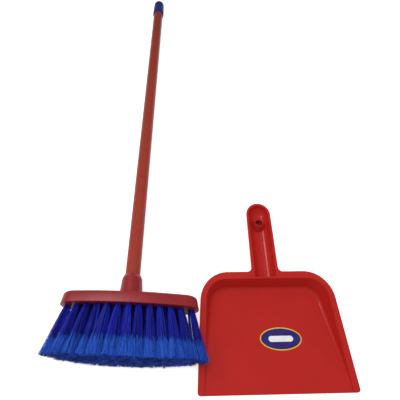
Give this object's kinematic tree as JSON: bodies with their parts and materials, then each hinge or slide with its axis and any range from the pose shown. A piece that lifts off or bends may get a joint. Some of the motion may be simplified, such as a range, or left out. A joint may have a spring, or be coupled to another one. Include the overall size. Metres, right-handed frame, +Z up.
{
  "type": "dustpan and broom set",
  "caption": "One-piece hand dustpan with a channel handle and hanging hole, beside a loose oval-headed broom with a screw-in stick and domed end cap.",
  "frame": {"origin": "on the floor at the middle of the dustpan's mouth lip", "axes": "+Z up, +Y from the mouth towards the dustpan's handle and along the broom's stick, +X along the mouth to the right"},
  "size_m": [0.4323, 0.9436, 0.0713],
  "materials": {
    "pan_plastic": "glossy red moulding",
    "label": "printed self-adhesive film",
    "block_plastic": "satin crimson moulding",
    "bristles": "blue synthetic fibre with flagged tips",
    "wire": "drawn flat wire",
    "stick_wood": "turned hardwood",
    "stick_film": "red-brown film with a faint grain print",
    "tip_plastic": "moulded",
    "cap_plastic": "satin navy-blue moulding"
  },
  "bodies": {
    "dustpan": {"pan": "pan_plastic", "pan_label": "label"},
    "brush_head": {"brush_block": "block_plastic", "tufts_front_outer": "bristles", "tufts_front_inner": "bristles", "tufts_middle": "bristles", "tufts_rear_inner": "bristles", "tufts_rear_outer": "bristles", "tuft_anchors": "wire"},
    "cap": {"end_cap": "cap_plastic"},
    "stick": {"handle_stick": "stick_wood", "handle_film": "stick_film", "threaded_tip": "tip_plastic", "tip_brads": "wire"}
  },
  "joints": [
    {"name": "brush_lift", "type": "slide", "parent": "dustpan", "child": "brush_head", "axis": [0, 0, 1], "range_m": [0, 0.3]},
    {"name": "handle_travel", "type": "slide", "parent": "brush_head", "child": "cap", "axis": [0.0563, 0.9981, -0.0255], "range_m": [0, 0.0251]},
    {"name": "handle_turn", "type": "hinge", "parent": "cap", "child": "stick", "pos_m": [-0.2069, 0.1118, 0.03395], "axis": [0.0563, 0.9981, -0.0255], "range_deg": [0, 1800]}
  ],
  "couplings": [
    {"joint": "handle_travel", "follows": "handle_turn", "m_per_rad": 0.00079577}
  ]
}
